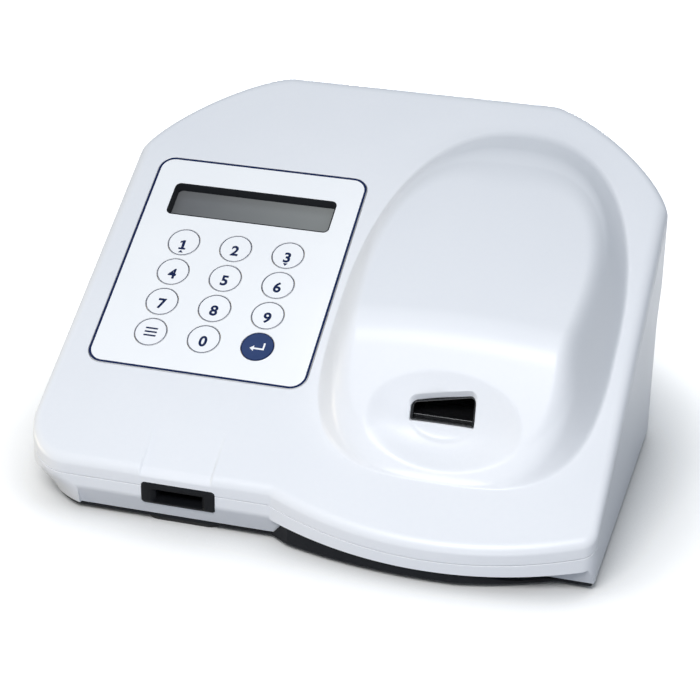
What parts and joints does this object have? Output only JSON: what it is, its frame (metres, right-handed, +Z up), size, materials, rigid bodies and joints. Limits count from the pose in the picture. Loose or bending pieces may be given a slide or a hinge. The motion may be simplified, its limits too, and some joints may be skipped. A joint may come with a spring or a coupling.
{
  "type": "rapid test reader",
  "caption": "Bench-top rapid test reader: sloped case with keypad and display, a hood with a cartridge slot, and a screw-driven carriage under an optical head.",
  "frame": {"origin": "on the table, under the middle of the case's plan", "axes": "+Z up, -Y towards the user, +X to the user's right"},
  "size_m": [0.2728, 0.2292, 0.1497],
  "materials": {
    "case_white": "semi-gloss moulded, slightly bluish white",
    "overlay_white": "smooth printed film",
    "navy": "printed navy film",
    "black": "fine satin",
    "rubber": "matt",
    "glass": "clear, polished",
    "board": "solder mask over glass fibre",
    "steel": "plated sheet and rod",
    "brass": "turned",
    "film": "amber polyester film",
    "frame": "dark coated metal"
  },
  "bodies": {
    "case": {"top_cover": "case_white", "base_shell": "case_white", "keypad_overlay": "overlay_white", "bottom_plate": "black", "display_bezel": "black", "port_bezel": "black", "card_socket": "black", "slot_liner": "black", "optics_head": "black", "buzzer": "black", "power_jack": "black", "switch_body": "black", "foot_front_left": "rubber", "foot_front_right": "rubber", "foot_back_left": "rubber", "foot_back_right": "rubber", "display_glass": "glass", "objective_lens": "glass", "display_board": "board", "detector_board": "board", "main_board": "board", "case_screw_1": "steel", "case_screw_2": "steel", "case_screw_3": "steel", "case_screw_4": "steel", "carriage_chassis": "steel", "guide_rod_left": "steel", "guide_rod_right": "steel", "optics_bracket": "steel", "clock_battery": "steel", "serial_port": "steel", "usb_port": "steel", "front_bearing": "brass", "keypad_spacer": "film", "keypad_circuit": "film", "display_module": "frame", "stepper_motor": "frame", "lamp_module": "frame"},
    "key_1_body": {"key_1": "overlay_white"},
    "key_2_body": {"key_2": "overlay_white"},
    "key_3_body": {"key_3": "overlay_white"},
    "key_4_body": {"key_4": "overlay_white"},
    "key_5_body": {"key_5": "overlay_white"},
    "key_6_body": {"key_6": "overlay_white"},
    "key_7_body": {"key_7": "overlay_white"},
    "key_8_body": {"key_8": "overlay_white"},
    "key_9_body": {"key_9": "overlay_white"},
    "key_option_body": {"key_option": "overlay_white"},
    "key_0_body": {"key_0": "overlay_white"},
    "key_enter_body": {"key_enter": "navy"},
    "carriage": {"cartridge_tray": "black", "carriage_nut": "brass"},
    "drive_screw": {"lead_screw": "steel"},
    "rocker": {"power_rocker": "black"}
  },
  "joints": [
    {"name": "key_1_press", "type": "slide", "parent": "case", "child": "key_1_body", "axis": [0, 0.5, -0.866], "range_m": [0, 0.0004], "stiffness_N_per_m": 400, "springref_m": -0.0005},
    {"name": "key_2_press", "type": "slide", "parent": "case", "child": "key_2_body", "axis": [0, 0.5, -0.866], "range_m": [0, 0.0004], "stiffness_N_per_m": 400, "springref_m": -0.0005},
    {"name": "key_3_press", "type": "slide", "parent": "case", "child": "key_3_body", "axis": [0, 0.5, -0.866], "range_m": [0, 0.0004], "stiffness_N_per_m": 400, "springref_m": -0.0005},
    {"name": "key_4_press", "type": "slide", "parent": "case", "child": "key_4_body", "axis": [0, 0.5, -0.866], "range_m": [0, 0.0004], "stiffness_N_per_m": 400, "springref_m": -0.0005},
    {"name": "key_5_press", "type": "slide", "parent": "case", "child": "key_5_body", "axis": [0, 0.5, -0.866], "range_m": [0, 0.0004], "stiffness_N_per_m": 400, "springref_m": -0.0005},
    {"name": "key_6_press", "type": "slide", "parent": "case", "child": "key_6_body", "axis": [0, 0.5, -0.866], "range_m": [0, 0.0004], "stiffness_N_per_m": 400, "springref_m": -0.0005},
    {"name": "key_7_press", "type": "slide", "parent": "case", "child": "key_7_body", "axis": [0, 0.5, -0.866], "range_m": [0, 0.0004], "stiffness_N_per_m": 400, "springref_m": -0.0005},
    {"name": "key_8_press", "type": "slide", "parent": "case", "child": "key_8_body", "axis": [0, 0.5, -0.866], "range_m": [0, 0.0004], "stiffness_N_per_m": 400, "springref_m": -0.0005},
    {"name": "key_9_press", "type": "slide", "parent": "case", "child": "key_9_body", "axis": [0, 0.5, -0.866], "range_m": [0, 0.0004], "stiffness_N_per_m": 400, "springref_m": -0.0005},
    {"name": "key_option_press", "type": "slide", "parent": "case", "child": "key_option_body", "axis": [0, 0.5, -0.866], "range_m": [0, 0.0004], "stiffness_N_per_m": 400, "springref_m": -0.0005},
    {"name": "key_0_press", "type": "slide", "parent": "case", "child": "key_0_body", "axis": [0, 0.5, -0.866], "range_m": [0, 0.0004], "stiffness_N_per_m": 400, "springref_m": -0.0005},
    {"name": "key_enter_press", "type": "slide", "parent": "case", "child": "key_enter_body", "axis": [0, 0.5, -0.866], "range_m": [0, 0.0004], "stiffness_N_per_m": 400, "springref_m": -0.0005},
    {"name": "carriage_slide", "type": "slide", "parent": "case", "child": "carriage", "axis": [0, 1, 0], "range_m": [0, 0.036]},
    {"name": "lead_screw_turn", "type": "hinge", "parent": "case", "child": "drive_screw", "pos_m": [0.058, -0.052, 0.0482], "axis": [0, 1, 0], "range_deg": [-1620, 0]},
    {"name": "power_rocker_tip", "type": "hinge", "parent": "case", "child": "rocker", "pos_m": [0.03124, 0.1038, 0.03], "axis": [1, 0, 0], "range_deg": [-18, 0]}
  ],
  "couplings": [
    {"joint": "lead_screw_turn", "follows": "carriage_slide", "rad_per_m": -785.39}
  ]
}
